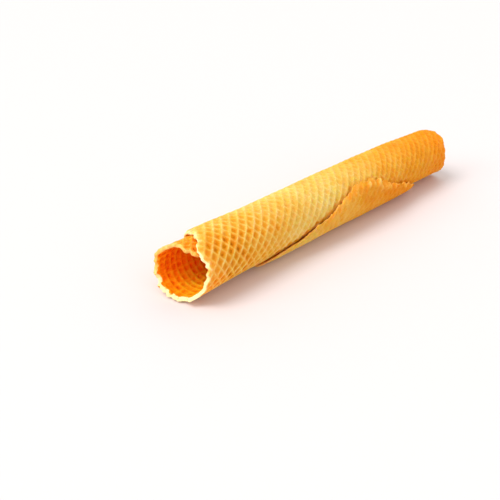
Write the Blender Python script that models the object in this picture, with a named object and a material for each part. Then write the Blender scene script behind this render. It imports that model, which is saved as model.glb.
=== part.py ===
"""A wafer stick: a thin round wafer, pressed with a grid on both faces and rolled into a tube while soft.

The wafer is drawn flat first, in metres. There s runs along the tube, from -X to +X, and v runs across the
wafer, from the edge that is rolled in first to the flap that ends on the outside. roll() then winds it up
around a line along X, so both faces, the laps and the flap's step come from the same few sizes.
"""

import math
import random

import bmesh
import bpy
from mathutils import Matrix, Vector
from mathutils.geometry import delaunay_2d_cdt

MM = 0.001

# The flat wafer: a disc of baked batter, drawn out a little askew along the tube
WAFER_RADIUS = 98.5 * MM
WAFER_SKEW = 0.11
WAFER_THICKNESS = 1.7 * MM

# The outer face's grid: its pitch, the turn of its ridges from the tube's line, and how deep its cells are
OUTER_PITCH = 3.12 * MM
OUTER_TURN = Matrix.Rotation(math.radians(41), 2)
OUTER_CELL_DEPTH = 0.45 * MM

# The inner face's grid, whose ridges run around the tube and along it
INNER_PITCH = 2.9 * MM
INNER_CELL_DEPTH = 0.3 * MM

# How far the soft wafer was drawn out across, with each grid, as it was rolled
OUTER_DRAW = Matrix.Diagonal((1, 1.08))
INNER_DRAW = Matrix.Diagonal((1, 1.2))

# Where each face's grid starts on the flat wafer, and its two steps from one crossing of ridges to the next
OUTER_START = Vector((2.2 * MM, -0.2 * MM))
OUTER_STEPS = (
    OUTER_DRAW @ OUTER_TURN @ Vector((OUTER_PITCH, 0)),
    OUTER_DRAW @ OUTER_TURN @ Vector((0, OUTER_PITCH)),
)
INNER_START = Vector((0.77 * MM, 0))
INNER_STEPS = (INNER_DRAW @ Vector((INNER_PITCH, 0)), INNER_DRAW @ Vector((0, INNER_PITCH)))

# The roll: the flap's radius, the mean radius of a lap, and how far each lap lies inside the next
TUBE_RADIUS = 12.8 * MM
LAP_RADIUS = 11.7 * MM
LAP_STEP = 2.05 * MM
LAP_LENGTH = 2 * math.pi * LAP_RADIUS
END_LAP = 36 * MM

# The tube's belly: it is that much fatter, below and above its axis, towards the +X end
BELLY_HEIGHT = 1.15 * MM
BELLY_PLACE = 30 * MM

# Both ends curl inwards, the first lap more than the last
CURL_LENGTH = 22 * MM
NEAR_CURL = 0.4 * MM
FAR_CURL = 0.8 * MM

# The flap's edge, its near corner and the last lap's near edge are pressed thin: each stretch of rim, in
# degrees around the wafer, and how much is gone there
PRESSED_STRETCHES = ((48, 114, 0.8 * MM), (106, 140, 0.85 * MM), (144, 168, 0.8 * MM))

# The tube is a little out of round: lobes around it, half waves from its middle to an end, phase and height
LOBES = ((2, 1.5, 90, 0.16 * MM), (3, 2.5, -90, 0.10 * MM), (5, 6.0, 0, 0.05 * MM))

# Where the flap's middle ends, turned from the top towards -Y
FLAP_ANGLE = math.radians(45)

# The flat that the stick rests on
REST_FLAT_DEPTH = 0.7 * MM
AXIS_HEIGHT = TUBE_RADIUS - REST_FLAT_DEPTH

# Tongues and bites of the rim, each as its place around the wafer, its reach outwards and its half width.
# 0 degrees is the tube's +X end, 90 the flap and 180 the -X end.
RIM_SHAPES = (
    (11.5, -7.0 * MM, 6.0),
    (63.0, 0.8 * MM, 3.0),
    (72.0, -0.8 * MM, 1.3),
    (74.5, -3.1 * MM, 10.0),
    (80.8, -1.2 * MM, 1.2),
    (102.0, -2.4 * MM, 6.0),
    (107.5, -2.2 * MM, 2.0),
    (118.0, -2.4 * MM, 9.0),
    (126.0, 5.0 * MM, 6.5),
    (152.5, 2.6 * MM, 2.6),
    (157.5, 1.5 * MM, 2.0),
    (163.5, 2.2 * MM, 2.2),
    (168.3, -1.5 * MM, 1.0),
    (174.5, -1.6 * MM, 3.0),
    (195.0, 1.8 * MM, 3.0),
    (205.0, 2.2 * MM, 3.0),
)

# The uneven crust of the rim: how many waves go around the wafer, and how high they are
RIM_WAVES = (
    (9, 0.25 * MM),
    (17, 0.2 * MM),
    (31, 0.25 * MM),
    (52, 0.25 * MM),
    (83, 0.25 * MM),
    (121, 0.25 * MM),
)
RIM_SEED = 294

# The mesh: points around the rim, the clear band inside it, and the runs between points where nothing shows
RIM_POINTS = 360
RIM_CLEARANCE = 1.2 * MM
PLAIN_RUN = 17.5 * MM
PLAIN_STEP = 2.2 * MM
TUCKED_LENGTH = 4 * MM
BORE_SHOWN_DEPTH = 20 * MM
INSIDE_RIM = 1


def rim_phases():
    draw = random.Random(RIM_SEED)
    return [draw.uniform(0, 2 * math.pi) for _ in RIM_WAVES]


RIM_PHASES = rim_phases()


def rim_radius(angle):
    """The wafer's radius at an angle around it, with its tongues, bites and crust."""
    radius = WAFER_RADIUS
    for place, reach, half_width in RIM_SHAPES:
        away = (math.degrees(angle) - place + 180) % 360 - 180
        radius += reach * math.exp(-((away / half_width) ** 2))
    for (count, height), phase in zip(RIM_WAVES, RIM_PHASES):
        radius += height * math.sin(count * angle + phase)
    return radius


def rim_point(index):
    angle = 2 * math.pi * index / RIM_POINTS
    radius = rim_radius(angle)
    v = radius * math.sin(angle)
    return Vector((radius * math.cos(angle) + WAFER_SKEW * v, v))


def inside_rim(s, v):
    """How far a point of the flat wafer lies inside its rim."""
    along = s - WAFER_SKEW * v
    return rim_radius(math.atan2(v, along)) - math.hypot(along, v)


def flap_edge(s):
    """The v of the smooth wafer's edge at s, on the flap's side."""
    squared_skew = 1 + WAFER_SKEW**2
    inner = (WAFER_SKEW * s) ** 2 - squared_skew * (s**2 - WAFER_RADIUS**2)
    return (WAFER_SKEW * s + math.sqrt(max(inner, 0))) / squared_skew


def lap_edge(s):
    """The v at which the tube has its full radius. It falls off gently, so the laps stay flat at the ends."""
    share = math.sqrt(max(1 - (s / WAFER_RADIUS) ** 2, 0))
    return END_LAP + (WAFER_RADIUS - END_LAP) * share


def belly(s):
    """How much fatter the tube is at s than at its ends."""
    from_place = s - BELLY_PLACE
    reach = WAFER_RADIUS - math.copysign(BELLY_PLACE, from_place)
    return BELLY_HEIGHT * (1 - (from_place / reach) ** 2)


def curl(s, v):
    """How far an end curls inwards."""
    near_tip = max(CURL_LENGTH - WAFER_RADIUS + abs(s), 0) / CURL_LENGTH
    first_lap = min(max((END_LAP - v) / LAP_LENGTH, 0.3), 1) ** 2
    return (NEAR_CURL if s < 0 else FAR_CURL) * first_lap * near_tip**2


def out_of_round(s, angle):
    swell = 0
    for lobes, half_waves, phase, height in LOBES:
        twist = half_waves * math.pi * s / WAFER_RADIUS + math.radians(phase)
        swell += height * math.sin(lobes * angle + twist)
    return swell


def roll(s, v, depth):
    """The place in the rolled tube of a point of the flat wafer, at a depth below its outer face."""
    angle = FLAP_ANGLE + (WAFER_RADIUS - v) / LAP_RADIUS
    lap_depth = LAP_STEP * (lap_edge(s) - v) / LAP_LENGTH
    radius = TUBE_RADIUS + belly(s) - lap_depth - curl(s, v) + out_of_round(s, angle) - depth
    height = AXIS_HEIGHT + belly(s) + radius * math.cos(angle)
    return Vector((s, -radius * math.sin(angle), max(height, 0)))


def outer_grid_shows(s, v):
    """True on the last lap, and a little further in, where the flap's step can be looked under."""
    return v > flap_edge(s) - LAP_LENGTH - TUCKED_LENGTH


def inner_grid_shows(s, v):
    """True on the first lap, as far into the bore as can be seen."""
    first_lap = v < -flap_edge(-s) + LAP_LENGTH
    return first_lap and abs(s) > WAFER_RADIUS - BORE_SHOWN_DEPTH


def grid_points(start, steps, shows):
    """The flat places of a grid where it shows: crossings of ridges at an even i + j, and middles of cells."""
    one = (steps[0] - steps[1]) / 2
    other = (steps[0] + steps[1]) / 2
    reach = math.ceil(2 * WAFER_RADIUS / INNER_PITCH)
    points = {}
    for i in range(-reach, reach + 1):
        for j in range(-reach, reach + 1):
            place = start + one * i + other * j
            if shows(*place) and inside_rim(*place) > RIM_CLEARANCE:
                points[i, j] = place
    return points


def ridge_edges(points, first):
    """Pairs of neighbouring crossings, as numbers of points that start at first."""
    numbers = {place: first + number for number, place in enumerate(points)}
    edges = []
    for i, j in points:
        if (i + j) % 2:
            continue
        for side in (-1, 1):
            if (i + 1, j + side) in numbers:
                edges.append((numbers[i, j], numbers[i + 1, j + side]))
    return edges


def plain_points(shows):
    """Sparse flat places where a face is hidden between the laps, closer together where the tube is round."""
    runs = math.floor(1.15 * WAFER_RADIUS / PLAIN_RUN)
    steps = math.floor(1.15 * WAFER_RADIUS / PLAIN_STEP)
    points = []
    for run in range(-runs, runs + 1):
        for step in range(-steps, steps + 1):
            place = Vector((run * PLAIN_RUN, step * PLAIN_STEP))
            if not shows(*place) and inside_rim(*place) > RIM_CLEARANCE:
                points.append(place)
    return points


def pressed_thin(index):
    """How much thinner the rim is at one of its points."""
    thinner = 0
    for first, last, depth in PRESSED_STRETCHES:
        share = (360 * index / RIM_POINTS - first) / (last - first)
        thinner += depth * abs(math.sin(math.pi * min(max(share, 0), 1))) ** 0.5
    return thinner


def add_face(mesh, rim, rim_depths, points, shows, base_depth, cell_depth):
    """Adds one face of the rolled wafer, and returns its vertices along the rim."""
    plain = plain_points(shows)
    flat = rim + list(points.values()) + plain
    ring = list(range(len(rim)))
    _, _, triangles, *_ = delaunay_2d_cdt(flat, ridge_edges(points, len(rim)), [ring], INSIDE_RIM, 1e-9)

    depths = list(rim_depths)
    for i, j in points:
        depths.append(base_depth + (cell_depth if (i + j) % 2 else 0))
    depths += [base_depth] * len(plain)
    vertices = [mesh.verts.new(roll(place.x, place.y, depth)) for place, depth in zip(flat, depths)]
    for triangle in triangles:
        mesh.faces.new([vertices[number] for number in triangle])
    return vertices[: len(rim)]


def centre(mesh):
    """Puts the origin under the middle of the mesh. Its lowest points already lie at the origin's height."""
    middles = []
    for axis in (0, 1):
        places = [vertex.co[axis] for vertex in mesh.verts]
        middles.append((min(places) + max(places)) / 2)
    bmesh.ops.translate(mesh, verts=mesh.verts, vec=(-middles[0], -middles[1], 0))


def rolled_wafer():
    rim = [rim_point(index) for index in range(RIM_POINTS)]
    outer_depths = [pressed_thin(index) for index in range(RIM_POINTS)]
    inner_depths = [WAFER_THICKNESS] * RIM_POINTS
    outer_grid = grid_points(OUTER_START, OUTER_STEPS, outer_grid_shows)
    inner_grid = grid_points(INNER_START, INNER_STEPS, inner_grid_shows)
    mesh = bmesh.new()
    outer = add_face(mesh, rim, outer_depths, outer_grid, outer_grid_shows, 0, OUTER_CELL_DEPTH)
    inner = add_face(
        mesh, rim, inner_depths, inner_grid, inner_grid_shows, WAFER_THICKNESS, -INNER_CELL_DEPTH
    )
    for index in range(RIM_POINTS):
        after = (index + 1) % RIM_POINTS
        mesh.faces.new((outer[index], outer[after], inner[after], inner[index]))
    bmesh.ops.triangulate(mesh, faces=mesh.faces)
    bmesh.ops.recalc_face_normals(mesh, faces=mesh.faces)
    centre(mesh)
    return mesh


def baked_wafer():
    material = bpy.data.materials.new("baked_wafer")
    material.use_nodes = True
    shader = material.node_tree.nodes["Principled BSDF"]
    shader.inputs["Base Color"].default_value = (0.83, 0.45, 0.12, 1)
    shader.inputs["Roughness"].default_value = 0.6
    shader.inputs["Metallic"].default_value = 0
    return material


def clear_scene():
    for leftover in list(bpy.data.objects):
        bpy.data.objects.remove(leftover, do_unlink=True)


def build():
    clear_scene()
    collection = bpy.data.collections.new("wafer_stick")
    bpy.context.scene.collection.children.link(collection)
    mesh = bpy.data.meshes.new("wafer_roll")
    shape = rolled_wafer()
    shape.to_mesh(mesh)
    shape.free()
    mesh.shade_smooth()
    mesh.set_sharp_from_angle(angle=math.radians(35))
    mesh.materials.append(baked_wafer())
    collection.objects.link(bpy.data.objects.new("wafer_roll", mesh))


build()
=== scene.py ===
"""Looks of the wafer stick: one thin round wafer, baked between two gridded plates and rolled up while soft.

The wafer is drawn flat, as in the part, in metres. There s runs along the tube, from -X to +X, and v runs
across the wafer, from the edge that is rolled in first to the flap. Its two faces get the plates' ridges, its
rim gets its crumbs, and roll() winds it all up. Each vertex keeps its flat place, so that the crust is
coloured by where it lay on the iron.
"""

import math
import random

import bpy
import numpy as np
from mathutils import Matrix, Vector, noise
from mathutils.geometry import delaunay_2d_cdt


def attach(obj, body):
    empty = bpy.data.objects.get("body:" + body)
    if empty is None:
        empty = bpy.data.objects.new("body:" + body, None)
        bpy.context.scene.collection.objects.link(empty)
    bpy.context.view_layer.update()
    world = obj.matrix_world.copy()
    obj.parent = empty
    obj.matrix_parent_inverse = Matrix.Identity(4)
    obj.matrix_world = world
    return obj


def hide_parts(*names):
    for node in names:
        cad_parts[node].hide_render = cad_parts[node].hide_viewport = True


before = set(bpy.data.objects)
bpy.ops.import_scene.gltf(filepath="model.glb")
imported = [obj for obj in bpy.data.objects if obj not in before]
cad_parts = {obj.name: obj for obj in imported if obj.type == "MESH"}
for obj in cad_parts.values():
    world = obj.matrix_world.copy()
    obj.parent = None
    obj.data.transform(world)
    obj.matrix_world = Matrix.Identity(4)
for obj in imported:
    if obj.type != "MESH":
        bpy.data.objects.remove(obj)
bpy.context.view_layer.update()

MM = 0.001

# The flat wafer: a disc of baked batter, drawn out a little askew along the tube
WAFER_RADIUS = 98.5 * MM
WAFER_SKEW = 0.11
WAFER_THICKNESS = 1.7 * MM

# The roll: the flap's radius, the mean radius of a lap, and how far each lap lies inside the next
TUBE_RADIUS = 12.8 * MM
LAP_RADIUS = 11.7 * MM
LAP_STEP = 2.05 * MM
LAP_LENGTH = 2 * math.pi * LAP_RADIUS
END_LAP = 36 * MM
FLAP_ANGLE = math.radians(45)
REST_FLAT_DEPTH = 0.7 * MM
AXIS_HEIGHT = TUBE_RADIUS - REST_FLAT_DEPTH
ROLL_MIDDLE = Vector((-0.41 * MM, -0.42 * MM, 0))

# The tube's belly: it is that much fatter, below and above its axis, towards the +X end
BELLY_HEIGHT = 1.15 * MM
BELLY_PLACE = 30 * MM

# Both ends curl inwards, the first lap more than the last
CURL_LENGTH = 22 * MM
NEAR_CURL = 0.4 * MM
FAR_CURL = 0.8 * MM
LAST_LAP_SHARE = 0.3

# The tube is a little out of round: lobes around it, half waves from its middle to an end, phase and height
LOBES = ((2, 1.5, 90, 0.16 * MM), (3, 2.5, -90, 0.10 * MM), (5, 6.0, 0, 0.05 * MM))

# Tongues and bites of the rim, each as its place around the wafer, its reach outwards and its half width.
# 0 degrees is the tube's +X end, 90 the flap and 180 the -X end.
RIM_SHAPES = (
    (11.5, -7.0 * MM, 6.0),
    (63.0, 0.8 * MM, 3.0),
    (72.0, -0.8 * MM, 1.3),
    (74.5, -3.1 * MM, 10.0),
    (80.8, -1.2 * MM, 1.2),
    (102.0, -2.4 * MM, 6.0),
    (107.5, -2.2 * MM, 2.0),
    (118.0, -2.4 * MM, 9.0),
    (126.0, 5.0 * MM, 6.5),
    (152.5, 2.6 * MM, 2.6),
    (157.5, 1.5 * MM, 2.0),
    (163.5, 2.2 * MM, 2.2),
    (168.3, -1.5 * MM, 1.0),
    (174.5, -1.6 * MM, 3.0),
    (195.0, 1.8 * MM, 3.0),
    (205.0, 2.2 * MM, 3.0),
)
RIM_WAVES = (
    (9, 0.25 * MM),
    (17, 0.2 * MM),
    (31, 0.25 * MM),
    (52, 0.25 * MM),
    (83, 0.25 * MM),
    (121, 0.25 * MM),
)
RIM_SEED = 294

# Crumbs along the rim, each as their size and their height, the stretches where more of it broke off, and how
# gently such a stretch begins and ends, in degrees
CRUMBS = ((2.8 * MM, 0.25 * MM), (1.3 * MM, 0.38 * MM))
CRUMBLED_STRETCHES = ((48, 96, 1.3), (153, 212, 1.55))
CRUMBLED_START = 4

# The flap's edge, its near corner and the last lap's near edge are pressed thin: each stretch of rim, in
# degrees around the wafer, how much is gone at the rim, and how far in that reaches
PRESSED_STRETCHES = (
    (48, 114, 0.8 * MM, 2.6 * MM),
    (106, 140, 0.85 * MM, 8 * MM),
    (144, 168, 0.8 * MM, 2.6 * MM),
)

# Lumps of batter that ran over along the flap's edge: the stretch of rim, how gently it begins and ends, how
# far in they lie, their size and height, and the noise between which a lump rises
LUMPY_STRETCH = (58, 95)
LUMPY_START = 8
LUMPY_MARGIN = 5 * MM
LUMP_SIZE = 3.2 * MM
LUMP_HEIGHT = 0.7 * MM
LUMP_RISE = (-0.1, 0.5)

# The broken edge between the two faces: rows across its thickness, how round and how square it is, and its
# rough crumb
EDGE_ROWS = 6
EDGE_ROUNDING = 0.3 * MM
EDGE_SQUARENESS = 2.5
EDGE_GRAIN = 0.9 * MM
EDGE_ROUGHNESS = 0.42 * MM

# Burnt specks in the broken edge, as their angle around the wafer and their depth in it, and their reach
SPECKS = ((182.7, 1.6 * MM), (186, 0.1 * MM))
SPECK_REACH = 0.6 * MM

# The broken edge at angles around the wafer: how browned it is, between raw cream at 0 and burnt at 1, and
# how much further in it broke at the inner face
EDGE_BREAKS = (
    (0, 0.40, 0.1 * MM),
    (45, 0.50, 0.1 * MM),
    (58, 0.45, 0.9 * MM),
    (112, 0.45, 0.9 * MM),
    (128, 0.34, 1.0 * MM),
    (136, 0.30, 0.1 * MM),
    (150, 0.18, 0.1 * MM),
    (157, 0.08, 0.2 * MM),
    (162, 0.10, 0.3 * MM),
    (164, 0.0, 0.3 * MM),
    (165.5, 0.0, -0.6 * MM),
    (167.6, 0.0, -0.6 * MM),
    (168.3, 0.5, -0.1 * MM),
    (169.5, 0.08, 0.0 * MM),
    (174, 0.03, 0.5 * MM),
    (179, 0.0, 0.8 * MM),
    (186, 0.0, 0.7 * MM),
    (188.5, 0.15, 0.5 * MM),
    (192, 0.42, 0.2 * MM),
    (198, 0.32, 0.2 * MM),
    (204, 0.34, 0.2 * MM),
    (212, 0.45, 0.2 * MM),
    (360, 0.40, 0.1 * MM),
)

# The iron's two plates. Each has strong ridges with weaker ones across them, and is given by the turn of the
# line across its strong ridges, a place where two ridges cross, the ridges' pitch, and how far the soft wafer
# was drawn out across as it was rolled
OUTER_PLATE = (math.radians(-49), (2.2 * MM, -0.2 * MM), 3.12 * MM, 1.08)
INNER_PLATE = (0, (0.77 * MM, 0), 2.9 * MM, 1.2)

# A ridge's top and foot, as shares of the pitch, the share of the cells' depth that a weak ridge has, and the
# cells' depth on either face
RIDGE_TOP = 0.0
RIDGE_FOOT = 0.38
WEAK_HEIGHT = 0.75
OUTER_PRESS = 0.46 * MM
INNER_PRESS = 0.35 * MM

# The margin of the wafer where the plates touched less, and what is left of the pressing at the rim
SMOOTH_MARGIN = 2.4 * MM
RIM_PRESSING = 0.3

# How unevenly the batter filled the iron: size and height of its swells, size and height of the grain of its
# skin, and how much the cells' depth follows the swells
SWELL_SIZE = 7 * MM
SWELL_HEIGHT = 0.10 * MM
SKIN_GRAIN = 1.0 * MM
SKIN_HEIGHT = 0.06 * MM
PRESS_SPREAD = 0.35

# The mesh: points around the rim, how far the lines reach from the wafer's middle, and the lines beside each
# ridge where it shows best and less well, as shares of the pitch
RIM_POINTS = 1500
LATTICE_REACH = 1.1 * WAFER_RADIUS
FINE_LINES = (-0.3, -0.15, 0, 0.15, 0.3, 0.5)
PLAIN_LINES = (-0.3, 0, 0.3, 0.5)

# Where a face is hidden between the laps: how far apart its points are along the tube and around it
HIDDEN_RUN = 6 * MM
HIDDEN_STEP = 2.2 * MM

# How far the points keep from the rim, how far the ridges go on under the flap, and how far into the bore the
# finer lines go
RIM_CLEARANCE = 0.28 * MM
TUCKED_LENGTH = 3 * MM
BORE_FINE_DEPTH = 24 * MM

# The triangles: only those inside the rim are kept, and points closer than this are one
INSIDE_RIM = 1
SAME_POINT = 1e-9


def rim_phases():
    draw = random.Random(RIM_SEED)
    return [draw.uniform(0, 2 * math.pi) for _ in RIM_WAVES]


def grain(places, size):
    """Smooth noise from -1 to 1 at each place, with bumps of about this size."""
    return np.array([noise.noise(Vector(place)) for place in places / size])


def smooth_rise(values, low, high):
    """0 below low, 1 above high, and a smooth rise between them."""
    share = np.clip((values - low) / (high - low), 0, 1)
    return share * share * (3 - 2 * share)


def rim_shape(angles):
    """The wafer's radius at each angle, with the part's own tongues, bites and waves."""
    radii = np.full_like(angles, WAFER_RADIUS)
    for place, reach, half_width in RIM_SHAPES:
        away = (np.degrees(angles) - place + 180) % 360 - 180
        radii += reach * np.exp(-((away / half_width) ** 2))
    for (count, height), phase in zip(RIM_WAVES, rim_phases()):
        radii += height * np.sin(count * angles + phase)
    return radii


def crumbled_rim(angles):
    """The rim's radius at each angle, with its crumbs."""
    radii = rim_shape(angles)
    around = np.stack([np.cos(angles), np.sin(angles), 0 * angles], 1) * WAFER_RADIUS
    degrees = np.degrees(angles)
    crumbled = np.ones_like(angles)
    for first, last, more in CRUMBLED_STRETCHES:
        begun = smooth_rise(degrees, first - CRUMBLED_START, first + CRUMBLED_START)
        ended = smooth_rise(degrees, last - CRUMBLED_START, last + CRUMBLED_START)
        crumbled += (more - 1) * begun * (1 - ended)
    for size, height in CRUMBS:
        radii += height * crumbled * grain(around, size)
    return radii


RIM_ANGLES = np.linspace(0, 2 * math.pi, RIM_POINTS, endpoint=False)
RIM_RADII = crumbled_rim(RIM_ANGLES)


def rim_places(inset):
    """The rim's flat places, set in by so much at each of its points."""
    radii = RIM_RADII - inset
    v = radii * np.sin(RIM_ANGLES)
    return radii * np.cos(RIM_ANGLES) + WAFER_SKEW * v, v


def around_wafer(s, v):
    return np.arctan2(v, s - WAFER_SKEW * v) % (2 * math.pi)


def inside_rim(s, v, rim_radii=RIM_RADII):
    """How far each point of the flat wafer lies inside its rim."""
    radii = np.interp(around_wafer(s, v), RIM_ANGLES, rim_radii, period=2 * math.pi)
    return radii - np.hypot(s - WAFER_SKEW * v, v)


def edge_break(angles, column):
    """A column of the broken edge's table at each angle around the wafer."""
    table = np.array(EDGE_BREAKS)
    return np.interp(np.degrees(angles), table[:, 0], table[:, column])


def burnt(angles, depth):
    """How burnt the broken edge is by its specks, from 0 to 1."""
    share = np.zeros_like(angles)
    for place, speck_depth in SPECKS:
        away = np.hypot((angles - math.radians(place)) * WAFER_RADIUS, depth - speck_depth)
        share = np.maximum(share, 1 - smooth_rise(away, SPECK_REACH / 3, SPECK_REACH))
    return share


def pressed_thin(angles, rim_distance):
    """How much thinner the wafer is at each angle around it and at that distance from its rim."""
    thinner = np.zeros_like(angles)
    for first, last, depth, margin in PRESSED_STRETCHES:
        share = np.clip((np.degrees(angles) - first) / (last - first), 0, 1)
        within = 1 - smooth_rise(rim_distance, 0, margin)
        thinner += depth * np.sqrt(np.abs(np.sin(math.pi * share))) * within
    return thinner


def flap_edge(s):
    """The v of the smooth wafer's edge at s, on the flap's side."""
    squared_skew = 1 + WAFER_SKEW**2
    inner = (WAFER_SKEW * s) ** 2 - squared_skew * (s**2 - WAFER_RADIUS**2)
    return (WAFER_SKEW * s + np.sqrt(np.maximum(inner, 0))) / squared_skew


def lap_edge(s):
    """The v at which the tube has its full radius. It falls off gently, so the laps stay flat at the ends."""
    share = np.sqrt(np.maximum(1 - (s / WAFER_RADIUS) ** 2, 0))
    return END_LAP + (WAFER_RADIUS - END_LAP) * share


def belly(s):
    """How much fatter the tube is at s than at its ends."""
    from_place = s - BELLY_PLACE
    reach = WAFER_RADIUS - np.copysign(BELLY_PLACE, from_place)
    return BELLY_HEIGHT * (1 - (from_place / reach) ** 2)


def curl(s, v):
    """How far an end curls inwards."""
    near_tip = np.maximum(CURL_LENGTH - WAFER_RADIUS + np.abs(s), 0) / CURL_LENGTH
    first_lap = np.clip((END_LAP - v) / LAP_LENGTH, LAST_LAP_SHARE, 1) ** 2
    return np.where(s < 0, NEAR_CURL, FAR_CURL) * first_lap * near_tip**2


def out_of_round(s, angle):
    swell = np.zeros_like(s)
    for lobes, half_waves, phase, height in LOBES:
        twist = half_waves * math.pi * s / WAFER_RADIUS + math.radians(phase)
        swell += height * np.sin(lobes * angle + twist)
    return swell


def roll(s, v, depth):
    """The places in the rolled tube of points of the flat wafer, at a depth below its outer face."""
    angle = FLAP_ANGLE + (WAFER_RADIUS - v) / LAP_RADIUS
    lap_depth = LAP_STEP * (lap_edge(s) - v) / LAP_LENGTH
    radius = TUBE_RADIUS + belly(s) - lap_depth - curl(s, v) + out_of_round(s, angle) - depth
    height = np.maximum(AXIS_HEIGHT + belly(s) + radius * np.cos(angle), 0)
    return np.stack([s, -radius * np.sin(angle), height], 1) - np.array(ROLL_MIDDLE)


def on_plate(s, v, plate):
    """How many strong and weak ridges away from the plate's start flat places lie."""
    turn, (start_s, start_v), pitch, drawn_out = plate
    s, v = (s - start_s) / pitch, (v - start_v) / drawn_out / pitch
    along, across = math.cos(turn), math.sin(turn)
    return s * along + v * across, v * along - s * across


def off_plate(strong_count, weak_count, plate):
    """The flat places that lie so many ridges away from the plate's start."""
    turn, (start_s, start_v), pitch, drawn_out = plate
    along, across = math.cos(turn) * pitch, math.sin(turn) * pitch
    s = strong_count * along - weak_count * across
    v = (strong_count * across + weak_count * along) * drawn_out
    return s + start_s, v + start_v


def press(count):
    """How far a plate pressed the batter down, 0 on a ridge's top and 1 between ridges."""
    from_ridge = np.abs((count + 0.5) % 1 - 0.5)
    return smooth_rise(from_ridge, RIDGE_TOP, RIDGE_FOOT)


def pressed_depth(s, v, plate, depth_of_cells, seed):
    """How deep each point of a face lies below the ridges' tops."""
    strong_count, weak_count = on_plate(s, v, plate)
    cell = press(strong_count) * (1 - WEAK_HEIGHT * (1 - press(weak_count)))
    flat = np.stack([s, v, np.full_like(s, seed)], 1)
    swell = grain(flat, SWELL_SIZE)
    margin = RIM_PRESSING + (1 - RIM_PRESSING) * smooth_rise(inside_rim(s, v), 0, SMOOTH_MARGIN)
    pressed = depth_of_cells * cell * (1 + PRESS_SPREAD * swell) * margin
    return pressed + SWELL_HEIGHT * (0.5 + 0.5 * swell) + SKIN_HEIGHT * grain(flat, SKIN_GRAIN)


def thinned_depth(s, v):
    """How deep the outer face sinks towards the pressed edges."""
    return pressed_thin(around_wafer(s, v), inside_rim(s, v))


def lumps(s, v):
    """How high the flap's edge is heaped at each place, from 0 to about 1."""
    first, last = LUMPY_STRETCH
    degrees = np.degrees(around_wafer(s, v))
    begun = smooth_rise(degrees, first, first + LUMPY_START)
    ended = smooth_rise(degrees, last - LUMPY_START, last)
    near_rim = 1 - smooth_rise(inside_rim(s, v), LUMPY_MARGIN / 3, LUMPY_MARGIN)
    lump = smooth_rise(grain(np.stack([s, v, 0 * s], 1), LUMP_SIZE), *LUMP_RISE)
    return begun * (1 - ended) * near_rim * lump


def outer_face_shows(s, v):
    """True on the last lap, and a little further in, where the flap's step can be looked under."""
    return v > flap_edge(s) - LAP_LENGTH - TUCKED_LENGTH


def bore_shows(s, v):
    """True on the first lap, whose inner face is the bore."""
    return v < -flap_edge(-s) + LAP_LENGTH


def bore_mouth(s, v):
    return bore_shows(s, v) & (np.abs(s) > WAFER_RADIUS - BORE_FINE_DEPTH)


def bore_deep(s, v):
    return bore_shows(s, v) & ~bore_mouth(s, v)


def ridge_lattice(plate, lines, shows):
    """Flat places on lines beside every ridge, both ways, where that part of the face shows."""
    most = math.ceil(LATTICE_REACH / plate[2])
    counts = (np.arange(-most, most + 1)[:, None] + np.array(lines)).ravel()
    strong_count, weak_count = np.meshgrid(counts, counts)
    s, v = off_plate(strong_count.ravel(), weak_count.ravel(), plate)
    kept = shows(s, v) & (inside_rim(s, v) > 0)
    return s[kept], v[kept]


def hidden_lattice(shows):
    """Sparse flat places where a face is hidden between the laps."""
    along = np.arange(-LATTICE_REACH, LATTICE_REACH, HIDDEN_RUN)
    across = np.arange(-LATTICE_REACH, LATTICE_REACH, HIDDEN_STEP)
    s, v = (axis.ravel() for axis in np.meshgrid(along, across))
    kept = ~shows(s, v) & (inside_rim(s, v) > HIDDEN_STEP / 2)
    return s[kept], v[kept]


def face_mesh(rim, lattices):
    """The flat places of one face, the rim's first, and its triangles."""
    rim_s, rim_v = rim
    s = np.concatenate([lattice[0] for lattice in lattices])
    v = np.concatenate([lattice[1] for lattice in lattices])
    clear = inside_rim(s, v, np.hypot(rim_s - WAFER_SKEW * rim_v, rim_v)) > RIM_CLEARANCE
    s = np.concatenate([rim_s, s[clear]])
    v = np.concatenate([rim_v, v[clear]])
    flat = [Vector(place) for place in zip(s, v)]
    ring = list(range(RIM_POINTS))
    _, _, triangles, *_ = delaunay_2d_cdt(flat, [], [ring], INSIDE_RIM, SAME_POINT)
    return s, v, triangles


def edge_rows():
    """The rim from the outer face to the inner one: flat places and depth of each row."""
    rows = []
    start = pressed_thin(RIM_ANGLES, 0 * RIM_ANGLES)
    slant = edge_break(RIM_ANGLES, 2)
    for share in np.linspace(0, 1, EDGE_ROWS):
        s, v = rim_places(0)
        depth = start + share * (WAFER_THICKNESS - start)
        rough = EDGE_ROUGHNESS * grain(np.stack([s, v, depth], 1), EDGE_GRAIN)
        rounding = EDGE_ROUNDING * abs(2 * share - 1) ** EDGE_SQUARENESS
        s, v = rim_places(rounding + slant * share - rough)
        rows.append((s, v, depth + rough * (1 - abs(2 * share - 1))))
    return rows


# The map for the baked colours has the flat wafer's two faces side by side: half of one face's width on it
MAP_REACH = 112 * MM


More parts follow.
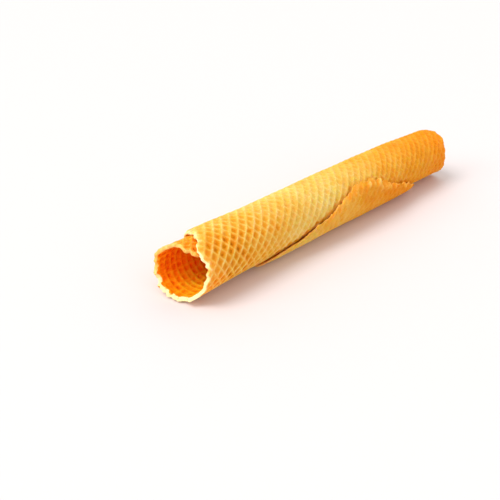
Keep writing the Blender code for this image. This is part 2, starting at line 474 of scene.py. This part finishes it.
def lay_out_map(mesh, s, v, outwards, first_inner_face, crust_faces):
    """The baked colours' map: the outer face with the broken edge around it, and the inner face beside it."""
    radius = np.hypot(s, v)
    stretch = 1 + outwards / np.maximum(radius, MM)
    beside = np.stack([0.25 + s / (4 * MAP_REACH), 0.5 + v / (2 * MAP_REACH)], 1)
    around = np.stack([0.25 + stretch * s / (4 * MAP_REACH), 0.5 + stretch * v / (2 * MAP_REACH)], 1)
    corners = np.zeros(len(mesh.loops), np.int64)
    mesh.loops.foreach_get("vertex_index", corners)
    sizes = np.zeros(len(mesh.polygons), np.int64)
    mesh.polygons.foreach_get("loop_total", sizes)
    face = np.repeat(np.arange(len(sizes)), sizes)
    inner = (face >= first_inner_face) & (face < crust_faces)
    places = np.where(inner[:, None], beside[corners] + np.array([0.5, 0]), around[corners])
    layer = mesh.uv_layers.new(name="OFBake")
    layer.data.foreach_set("uv", places.astype(np.float32).ravel())


def wafer_mesh():
    """The rolled wafer, its flat places kept as attributes for the crust's colours."""
    rows = edge_rows()
    outer_lattices = [
        ridge_lattice(OUTER_PLATE, FINE_LINES, outer_face_shows),
        hidden_lattice(outer_face_shows),
    ]
    inner_lattices = [
        ridge_lattice(INNER_PLATE, FINE_LINES, bore_mouth),
        ridge_lattice(INNER_PLATE, PLAIN_LINES, bore_deep),
        hidden_lattice(bore_shows),
    ]
    outer_s, outer_v, outer_triangles = face_mesh(rows[0][:2], outer_lattices)
    inner_s, inner_v, inner_triangles = face_mesh(rows[-1][:2], inner_lattices)
    outer_depth = pressed_depth(outer_s, outer_v, OUTER_PLATE, OUTER_PRESS, 0)
    outer_depth += thinned_depth(outer_s, outer_v) - LUMP_HEIGHT * lumps(outer_s, outer_v)
    inner_depth = WAFER_THICKNESS - pressed_depth(inner_s, inner_v, INNER_PLATE, INNER_PRESS, 1)

    between = rows[1:-1]
    s = np.concatenate([outer_s, inner_s] + [row[0] for row in between])
    v = np.concatenate([outer_v, inner_v] + [row[1] for row in between])
    depth = np.concatenate([outer_depth, inner_depth] + [row[2] for row in between])
    outwards = np.concatenate([0 * outer_s, 0 * inner_s + WAFER_THICKNESS] + [row[2] for row in between])
    on_outer_plate = np.stack(on_plate(s, v, OUTER_PLATE))
    on_inner_plate = np.stack(on_plate(s, v, INNER_PLATE))

    first_inner = len(outer_s)
    first_between = first_inner + len(inner_s)
    faces = [tuple(triangle) for triangle in outer_triangles]
    first_inner_face = len(faces)
    faces += [tuple(first_inner + number for number in reversed(triangle)) for triangle in inner_triangles]
    crust_faces = len(faces)
    starts = [0] + [first_between + RIM_POINTS * number for number in range(len(between))] + [first_inner]
    for upper, lower in zip(starts, starts[1:]):
        for point in range(RIM_POINTS):
            after = (point + 1) % RIM_POINTS
            faces.append((upper + point, lower + point, lower + after, upper + after))

    mesh = bpy.data.meshes.new("rolled_wafer")
    mesh.from_pydata(roll(s, v, depth).tolist(), [], faces)
    lay_out_map(mesh, s, v, outwards, first_inner_face, crust_faces)
    is_inner = (np.arange(len(s)) >= first_inner) & (np.arange(len(s)) < first_between)
    strong_count, weak_count = np.where(is_inner, on_inner_plate, on_outer_plate)
    places = {"flat_place": (s, v, depth), "ridge_counts": (strong_count, weak_count, 0 * s)}
    for name, axes in places.items():
        place = mesh.attributes.new(name, "FLOAT_VECTOR", "POINT")
        place.data.foreach_set("vector", np.stack(axes, 1).astype(np.float32).ravel())
    numbers = {
        "rim_distance": inside_rim(s, v),
        "lap_distance": -inside_rim(s, v + LAP_LENGTH),
        "edge_browning": np.maximum(edge_break(around_wafer(s, v), 1), burnt(around_wafer(s, v), depth)),
        "lump": lumps(s, v),
    }
    for name, values in numbers.items():
        distance = mesh.attributes.new(name, "FLOAT", "POINT")
        distance.data.foreach_set("value", values.astype(np.float32))
    slots = np.zeros(len(faces), np.int32)
    slots[crust_faces:] = 1
    mesh.polygons.foreach_set("material_index", slots)
    mesh.shade_smooth()
    return mesh


class Finish:
    """A node tree, written as sums: each call adds a node and gives back its output."""

    def __init__(self, tree):
        self.tree = tree

    def feed(self, socket, value):
        """Links another node's output to a socket, or sets the socket to a value."""
        if isinstance(value, bpy.types.NodeSocket):
            self.tree.links.new(value, socket)
        else:
            socket.default_value = value

    def add(self, kind, inputs, output=0, **settings):
        node = self.tree.nodes.new(kind)
        for name, value in settings.items():
            setattr(node, name, value)
        for name, value in inputs.items():
            self.feed(node.inputs[name], value)
        return node.outputs[output]

    def sum(self, operation, *values):
        return self.add("ShaderNodeMath", dict(enumerate(values)), operation=operation)

    def total(self, *values):
        whole = values[0]
        for value in values[1:]:
            whole = self.sum("ADD", whole, value)
        return whole

    def product(self, *values):
        whole = values[0]
        for value in values[1:]:
            whole = self.sum("MULTIPLY", whole, value)
        return whole

    def scaled(self, vector, size):
        return self.add("ShaderNodeVectorMath", {0: vector, 1: (size, size, size)}, operation="MULTIPLY")

    def rise(self, value, low, high, first=0, last=1):
        """first where the value is below low, last above high, and a smooth rise between."""
        inputs = {"Value": value, "From Min": low, "From Max": high, "To Min": first, "To Max": last}
        return self.add("ShaderNodeMapRange", inputs, interpolation_type="SMOOTHSTEP")

    def grain(self, place, size, detail=2.0, roughness=0.5):
        """Noise from 0 to 1, with spots of about this size."""
        inputs = {"Vector": place, "Scale": 1 / size, "Detail": detail, "Roughness": roughness}
        return self.add("ShaderNodeTexNoise", inputs, "Fac")

    def mix(self, share, first, second):
        mixed = self.tree.nodes.new("ShaderNodeMix")
        mixed.data_type = "RGBA"
        for name, value in {"Factor": share, "A": first, "B": second}.items():
            socket = [socket for socket in mixed.inputs if socket.name == name and socket.enabled][0]
            self.feed(socket, value)
        return [socket for socket in mixed.outputs if socket.enabled][0]

    def ramp(self, share, stops):
        node = self.tree.nodes.new("ShaderNodeValToRGB")
        self.tree.links.new(share, node.inputs["Fac"])
        elements = node.color_ramp.elements
        while len(elements) < len(stops):
            elements.new(0.5)
        for element, (place, colour) in zip(elements, stops):
            element.position = place
            element.color = colour
        return node.outputs["Color"]

    def group(self, tree, inputs):
        node = self.tree.nodes.new("ShaderNodeGroup")
        node.node_tree = tree
        for name, value in inputs.items():
            self.feed(node.inputs[name], value)
        return node.outputs


def new_group(name, inputs, outputs):
    """An empty node group with named sockets, as its finish, its inputs and its output node."""
    tree = bpy.data.node_groups.new(name, "ShaderNodeTree")
    for socket, kind in inputs.items():
        tree.interface.new_socket(socket, in_out="INPUT", socket_type=kind)
    for socket, kind in outputs.items():
        tree.interface.new_socket(socket, in_out="OUTPUT", socket_type=kind)
    entry = tree.nodes.new("NodeGroupInput")
    leave = tree.nodes.new("NodeGroupOutput")
    return Finish(tree), entry.outputs, leave.inputs


FLOAT, VECTOR, COLOUR = "NodeSocketFloat", "NodeSocketVector", "NodeSocketColor"

# The finishes measure the flat wafer in millimetres: X along the tube, Y across the wafer and Z its depth. So
# their places, sizes and reaches are plain numbers, and only their heights, given with MM, are in metres.

# The batter's colour from raw to burnt, by how browned it is
BATTER_SHADES = (
    (0.0, (0.95, 0.84, 0.44, 1)),
    (0.2, (0.95, 0.66, 0.25, 1)),
    (0.4, (0.91, 0.48, 0.095, 1)),
    (0.6, (0.86, 0.335, 0.03, 1)),
    (0.8, (0.79, 0.22, 0.003, 1)),
    (1.0, (0.35, 0.06, 0.003, 1)),
)

# The bore's crust, baked a deeper orange and painted brighter and redder for the light that glows through the
# thin
# crust and bounces in the bore: painted light further in, painted shade on its ceiling, and blotched
DEEP_PAINTED_LIGHT = 0.38
CEILING_SHADE = 0.55
BLOTCH_SPREAD = 1.1
BLOTCH_SIZE = 2.0
BORE_SHADES = (
    (0.0, (1.0, 0.52, 0.02, 1)),
    (0.2, (1.0, 0.40, 0.012, 1)),
    (0.5, (1.0, 0.28, 0.003, 1)),
    (1.0, (0.74, 0.08, 0.001, 1)),
)

# How browned the crust is along the stick, from its near end to its far end, and at which places
NEAR_BROWNING = 0.52
MIDDLE_BROWNING = 0.345
FAR_BROWNING = 0.69
NEAR_PLACE = -75.0
PALEST_PLACE = -25.0
FAR_PLACE = 85.0

# How much each of these browns the crust or pales it, or, where said beside it, paints shade or light on it
RIDGE_PALENESS = 0.24
# The cells: baked browner, and painted shade in their hollows
CELL_BROWNING_AND_SHADE = 0.27
CELL_SPREAD = 0.20
PATCH_SPREAD = 0.30
SPOT_SPREAD = 0.28
FLECK_SPREAD = 0.30
PORE_BROWNING = 0.06
EDGE_PALENESS = 0.25
# Painted shade in the seam's groove, where the flap's edge lies over the lap below, and less of it where the
# seam closes tight
SEAM_SHADE = 0.32
TIGHT_SEAM_SHADE = 0.10
# The tongue that sticks out at the near end: baked browner, and painted shade from the lap over it
TONGUE_BROWNING_AND_SHADE = 0.14
TONGUE_SPREAD = 0.6
# Painted light on the tube's top: a painted highlight towards the near end, and painted shade further along
NEAR_TOP_HIGHLIGHT = -0.08
TOP_SHADE = 0.05
# Darker and more orange towards the flap's edge
FLAP_DARKENING = 0.12
LUMP_PALENESS = 0.25
CRUMB_SPREAD = 0.3
CRUMB_PORE_BROWNING = 0.25

# How large the uneven spots are
PATCH_SIZE = 16.0
SPOT_SIZE = 3.0
FLECK_SIZE = 0.7
TONGUE_SPOT_SIZE = 1.4
CRUMB_SPOT_SIZE = 2.0
CRUST_PORE_SIZE = 0.9
CRUMB_PORE_SIZE = 0.7

# From where to where each change of the crust runs, across the wafer
TONGUE_EDGE = (-20.0, -8.0)
TOP_EDGE = (26.0, 40.0)
# The top, where light and shade are painted on
PAINTED_TOP_EDGE = (28.0, 38.0)
FLAP_RISE = (74.0, 90.0)
CEILING_EDGE = (-35.0, -22.0)

# The same along the tube
CONTRAST_FADE = (-90.0, -25.0)
TOP_FADE = (-60.0, -15.0)
PALE_RIM_FADE = (-70.0, -50.0)
SEAM_START = (-76.0, -70.0)
SEAM_TIGHTENS = (-22.0, -12.0)
BORE_DEEPENS = (-98.0, -76.0)

# The same in from the rim, away from the seam, and from the outer face to the inner one
PALE_RIM_WIDTH = (0.3, 2.4)
RIM_FADE = (1.0, 9.0)
SEAM_WIDTH = (0.1, 1.3)
INNER_FACE_DEPTH = (0.85, 1.15)

# The pressed ridges: how far they wander and how ragged they are, as shares of the pitch, how much is left of
# them where they fade, how large each of these is, the noise between which they fade, and from where to
# where, as shares of the pitch, a ridge falls off and a cell's floor begins
RIDGE_WOBBLE = 0.16
WOBBLE_SIZE = 3.0
RIDGE_RAGGEDNESS = 0.16
RAGGED_SIZE = 1.1
RIDGE_FADING = 0.35
FADING_SIZE = 2.2
FADING_RISE = (0.38, 0.6)
RIDGE_SIDE = (0.02, 0.17)
CELL_SIDE = (0.05, 0.38)

# The skin: the noise between which a pore opens, how deep a pore is, the grain between pores, as a share of a
# pore, and how strong and how high the skin's roughness is
PORE_RISE = (0.62, 0.74)
PORE_DEPTH = 0.8
FINE_GRAIN = 0.35
SKIN_STRENGTH = 0.6
CRUST_SKIN_HEIGHT = 0.2 * MM
CRUMB_SKIN_HEIGHT = 0.3 * MM

# What is left of the grid's colours towards the far end, on top, where it is washed out as painted glare, on
# the tongue and beside the rim
FAR_CONTRAST = 0.25
TOP_GLARE_CONTRAST = 0.55
TONGUE_CONTRAST = 0.4
RIM_CONTRAST = 0.5

# The light that passes through the thin crust: its share, and how far each of its colours reaches
GLOW = 0.75
GLOW_REACH = (4.2, 1.4, 0.12)


def baked_batter():
    """The colour of batter, by how browned it is."""
    finish, given, made = new_group("baked_batter", {"Browning": FLOAT}, {"Color": COLOUR})
    finish.tree.links.new(finish.ramp(given["Browning"], BATTER_SHADES), made["Color"])
    return finish.tree


def centred(finish, value, height):
    """The value's spread around a half, made this high."""
    return finish.sum("MULTIPLY", finish.sum("SUBTRACT", value, 0.5), height)


def iron_grid():
    """Where a plate's ridges lie on the flat wafer, and one random shade for each cell."""
    finish, given, made = new_group(
        "iron_grid",
        {"Ridge Counts": VECTOR, "Place": VECTOR},
        {"Ridge": FLOAT, "Cell": FLOAT, "Cell Shade": FLOAT},
    )
    wobble = finish.total(
        centred(finish, finish.grain(given["Place"], WOBBLE_SIZE), RIDGE_WOBBLE),
        centred(finish, finish.grain(given["Place"], RAGGED_SIZE), RIDGE_RAGGEDNESS),
    )
    left_of_ridge = finish.rise(finish.grain(given["Place"], FADING_SIZE), *FADING_RISE, RIDGE_FADING, 1)
    counts = finish.add("ShaderNodeSeparateXYZ", {0: given["Ridge Counts"]}).node.outputs
    ridges = []
    hollows = []
    cells = []
    for axis, height in (("X", 1.0), ("Y", WEAK_HEIGHT)):
        count = finish.sum("ADD", counts[axis], wobble)
        from_ridge = finish.sum("PINGPONG", count, 0.5)
        ridges.append(finish.rise(from_ridge, *RIDGE_SIDE, height, 0))
        hollows.append(finish.rise(from_ridge, *CELL_SIDE, 1 - height, 1))
        cells.append(finish.sum("FLOOR", count))
    ridge = finish.sum("MULTIPLY", finish.sum("MAXIMUM", *ridges), left_of_ridge)
    finish.tree.links.new(ridge, made["Ridge"])
    finish.tree.links.new(finish.sum("MULTIPLY", *hollows), made["Cell"])
    cell = finish.add("ShaderNodeCombineXYZ", {"X": cells[0], "Y": cells[1]})
    shade_of_cell = finish.add("ShaderNodeTexWhiteNoise", {"Vector": cell}, "Value")
    finish.tree.links.new(shade_of_cell, made["Cell Shade"])
    return finish.tree


def batter_skin():
    """The pores and the fine rough skin of baked batter."""
    finish, given, made = new_group(
        "batter_skin", {"Place": VECTOR, "Pore Size": FLOAT}, {"Pores": FLOAT, "Height": FLOAT}
    )
    per_pore = finish.sum("DIVIDE", 1.0, given["Pore Size"])
    sized = finish.add("ShaderNodeVectorMath", {0: given["Place"], "Scale": per_pore}, operation="SCALE")
    pores = finish.rise(finish.grain(sized, 1.0, detail=1.0), *PORE_RISE)
    finish.tree.links.new(pores, made["Pores"])
    fine = finish.grain(sized, FINE_GRAIN, detail=3.0, roughness=0.6)
    height = finish.sum("SUBTRACT", fine, finish.sum("MULTIPLY", pores, PORE_DEPTH))
    finish.tree.links.new(height, made["Height"])
    return finish.tree


BATTER = baked_batter()
GRID = iron_grid()
SKIN = batter_skin()


def matt_material(name, roughness, shine):
    """A material with its shader's even values set, as its finish and its shader's inputs."""
    material = bpy.data.materials.new(name)
    material.use_nodes = True
    shader = material.node_tree.nodes["Principled BSDF"]
    shader.inputs["Roughness"].default_value = roughness
    shader.inputs["Specular IOR Level"].default_value = shine
    return material, Finish(material.node_tree), shader.inputs


def millimetres(finish, name):
    """A place that each vertex keeps, in millimetres."""
    return finish.scaled(finish.add("ShaderNodeAttribute", {}, "Vector", attribute_name=name), 1 / MM)


def distance_from(finish, name):
    """A distance that each vertex keeps, in millimetres."""
    distance = finish.add("ShaderNodeAttribute", {}, "Fac", attribute_name=name)
    return finish.sum("MULTIPLY", distance, 1 / MM)


def rough_skin(finish, height, depth):
    """The surface's normal over a rough skin, in which a height of 1 is this deep."""
    inputs = {"Height": height, "Strength": SKIN_STRENGTH, "Distance": depth}
    return finish.add("ShaderNodeBump", inputs, "Normal")


def browning_along(finish, axes):
    near = finish.rise(axes["X"], NEAR_PLACE, PALEST_PLACE, NEAR_BROWNING, MIDDLE_BROWNING)
    far = finish.rise(axes["X"], PALEST_PLACE, FAR_PLACE, 0, FAR_BROWNING - MIDDLE_BROWNING)
    return finish.sum("ADD", near, far)


def baked_crust():
    material, finish, shader = matt_material("baked_crust", roughness=0.65, shine=0.04)
    place = millimetres(finish, "flat_place")
    axes = finish.add("ShaderNodeSeparateXYZ", {0: place}).node.outputs
    rim = distance_from(finish, "rim_distance")
    lap = distance_from(finish, "lap_distance")
    counts = finish.add("ShaderNodeAttribute", {}, "Vector", attribute_name="ridge_counts")
    grid = finish.group(GRID, {"Ridge Counts": counts, "Place": place})
    lump = finish.add("ShaderNodeAttribute", {}, "Fac", attribute_name="lump")
    skin = finish.group(SKIN, {"Place": place, "Pore Size": CRUST_PORE_SIZE})
    is_inner = finish.rise(axes["Z"], *INNER_FACE_DEPTH)
    contrast = finish.product(
        finish.rise(rim, *RIM_FADE, RIM_CONTRAST, 1.0),
        finish.rise(axes["X"], *CONTRAST_FADE, 1.0, FAR_CONTRAST),
        # The lit top's grid, washed out as painted glare
        finish.rise(axes["Y"], *TOP_EDGE, 1.0, TOP_GLARE_CONTRAST),
        finish.sum("MAXIMUM", finish.rise(axes["Y"], *TONGUE_EDGE, TONGUE_CONTRAST, 1.0), is_inner),
    )
    of_grid = finish.total(
        finish.sum("MULTIPLY", grid["Ridge"], -RIDGE_PALENESS),
        # Cells baked browner, with painted shade in their hollows
        finish.sum("MULTIPLY", grid["Cell"], CELL_BROWNING_AND_SHADE),
        finish.sum("MULTIPLY", centred(finish, grid["Cell Shade"], CELL_SPREAD), grid["Cell"]),
    )
    # Painted shade in the seam's groove beside the flap's edge
    painted_seam_shade = finish.product(
        finish.rise(axes["X"], *SEAM_TIGHTENS, SEAM_SHADE, TIGHT_SEAM_SHADE),
        finish.rise(axes["X"], *SEAM_START),
        finish.rise(finish.sum("ABSOLUTE", lap), *SEAM_WIDTH, 1, 0),
    )
    pale_rim = finish.rise(axes["X"], *PALE_RIM_FADE, -EDGE_PALENESS, 0)
    # The tongue, baked browner and with painted shade from the lap over it
    tongue_spots = centred(finish, finish.grain(place, TONGUE_SPOT_SIZE), TONGUE_SPREAD)
    of_tongue = finish.sum("ADD", TONGUE_BROWNING_AND_SHADE, tongue_spots)
    # Painted highlight on the top at the near end, painted shade on it further along
    painted_top_light = finish.rise(axes["X"], *TOP_FADE, NEAR_TOP_HIGHLIGHT, TOP_SHADE)
    browning = finish.total(
        browning_along(finish, axes),
        finish.sum("MULTIPLY", of_grid, contrast),
        centred(finish, finish.grain(place, PATCH_SIZE), PATCH_SPREAD),
        centred(finish, finish.grain(place, SPOT_SIZE), SPOT_SPREAD),
        centred(finish, finish.grain(place, FLECK_SIZE), FLECK_SPREAD),
        finish.sum("MULTIPLY", skin["Pores"], PORE_BROWNING),
        finish.sum("MULTIPLY", finish.rise(rim, *PALE_RIM_WIDTH, 1, 0), pale_rim),
        finish.sum("MULTIPLY", finish.rise(axes["Y"], *TONGUE_EDGE, 1, 0), of_tongue),
        finish.sum("MULTIPLY", finish.rise(axes["Y"], *PAINTED_TOP_EDGE), painted_top_light),
        finish.rise(axes["Y"], *FLAP_RISE, 0, FLAP_DARKENING),
        finish.sum("MULTIPLY", lump, -LUMP_PALENESS),
        painted_seam_shade,
    )
    outer = finish.group(BATTER, {"Browning": browning})["Color"]
    # The bore's colours, with painted light further in and painted shade on its ceiling
    of_bore = finish.total(
        browning,
        finish.rise(axes["X"], *BORE_DEEPENS, 0, -DEEP_PAINTED_LIGHT),
        finish.rise(axes["Y"], *CEILING_EDGE, CEILING_SHADE, 0),
        centred(finish, finish.grain(place, BLOTCH_SIZE), BLOTCH_SPREAD),
    )
    bore = finish.ramp(of_bore, BORE_SHADES)
    colour = finish.mix(is_inner, outer, bore)
    finish.tree.links.new(colour, shader["Base Color"])
    shader["Subsurface Weight"].default_value = GLOW
    shader["Subsurface Radius"].default_value = GLOW_REACH
    shader["Subsurface Scale"].default_value = MM
    finish.tree.links.new(rough_skin(finish, skin["Height"], CRUST_SKIN_HEIGHT), shader["Normal"])
    return material


def broken_crumb():
    material, finish, shader = matt_material("broken_crumb", roughness=0.8, shine=0.15)
    place = millimetres(finish, "flat_place")
    skin = finish.group(SKIN, {"Place": place, "Pore Size": CRUMB_PORE_SIZE})
    browning = finish.total(
        finish.add("ShaderNodeAttribute", {}, "Fac", attribute_name="edge_browning"),
        centred(finish, finish.grain(place, CRUMB_SPOT_SIZE), CRUMB_SPREAD),
        finish.sum("MULTIPLY", skin["Pores"], CRUMB_PORE_BROWNING),
    )
    finish.tree.links.new(finish.group(BATTER, {"Browning": browning})["Color"], shader["Base Color"])
    finish.tree.links.new(rough_skin(finish, skin["Height"], CRUMB_SKIN_HEIGHT), shader["Normal"])
    return material


def rolled_wafer():
    wafer = bpy.data.objects.new("rolled_wafer", wafer_mesh())
    wafer.data.materials.append(baked_crust())
    wafer.data.materials.append(broken_crumb())
    bpy.context.scene.collection.objects.link(wafer)
    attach(wafer, "root")
    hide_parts("wafer_roll")


# The plain pale table that the stick lies on
TABLE_SIZE = 12.0
TABLE_COLOUR = (0.78, 0.75, 0.785, 1)


def table_top():
    material, _, shader = matt_material("table_top", roughness=0.6, shine=0.3)
    shader["Base Color"].default_value = TABLE_COLOUR
    return material


def floor():
    half = TABLE_SIZE / 2
    corners = [(-half, -half, 0), (half, -half, 0), (half, half, 0), (-half, half, 0)]
    mesh = bpy.data.meshes.new("table")
    mesh.from_pydata(corners, [], [(0, 1, 2, 3)])
    mesh.materials.append(table_top())
    table = bpy.data.objects.new("table", mesh)
    bpy.context.scene.collection.objects.link(table)


# The camera, by where it stands and the way it faces in the part's frame, its lens and its nearest sight
CAMERA_PLACE = Vector((-297.5, -166.65, 164.8)) * MM
CAMERA_RIGHT = Vector((0.61539, -0.77829, 0.12472))
CAMERA_UP = Vector((0.30631, 0.38192, 0.87196))
FRAME_PIXELS = 500
FOCAL_PIXELS = 842
SENSOR = 36
NEAREST_SIGHT = 10 * MM


def camera():
    data = bpy.data.cameras.new("camera")
    data.sensor_width = SENSOR
    data.lens = SENSOR * FOCAL_PIXELS / FRAME_PIXELS
    data.clip_start = NEAREST_SIGHT
    seen = bpy.data.objects.new("camera", data)
    axes = Matrix((CAMERA_RIGHT, CAMERA_UP, CAMERA_RIGHT.cross(CAMERA_UP))).transposed()
    seen.matrix_world = Matrix.Translation(CAMERA_PLACE) @ axes.to_4x4()
    bpy.context.scene.collection.objects.link(seen)
    bpy.context.scene.camera = seen


# The light: a big bright window up behind the stick's near end, a low lamp that shines into that end, and a
# pale warm room all around
LIGHT_WIDTH = math.radians(28)
WINDOW_DIRECTION = Vector((-0.6, 0.2, 0.75))
WINDOW_STRENGTH = 1.7
WINDOW_COLOUR = (1, 0.98, 0.95)
LAMP_DIRECTION = Vector((-0.85, 0.25, 0.38))
LAMP_STRENGTH = 0.9
LAMP_COLOUR = (1, 1, 1)
ROOM_STRENGTH = 0.89
ROOM_COLOUR = (1, 0.93, 0.86, 1)


def far_light(name, direction, strength, colour):
    data = bpy.data.lights.new(name, "SUN")
    data.angle = LIGHT_WIDTH
    data.energy = strength
    data.color = colour
    light = bpy.data.objects.new(name, data)
    light.rotation_euler = direction.to_track_quat("Z", "Y").to_euler()
    bpy.context.scene.collection.objects.link(light)


def lighting():
    world = bpy.data.worlds.new("room")
    world.use_nodes = True
    world.node_tree.nodes["Background"].inputs["Color"].default_value = ROOM_COLOUR
    world.node_tree.nodes["Background"].inputs["Strength"].default_value = ROOM_STRENGTH
    bpy.context.scene.world = world
    far_light("window", WINDOW_DIRECTION, WINDOW_STRENGTH, WINDOW_COLOUR)
    far_light("lamp", LAMP_DIRECTION, LAMP_STRENGTH, LAMP_COLOUR)
    bpy.context.scene.view_settings.view_transform = "Standard"


rolled_wafer()
floor()
camera()
lighting()
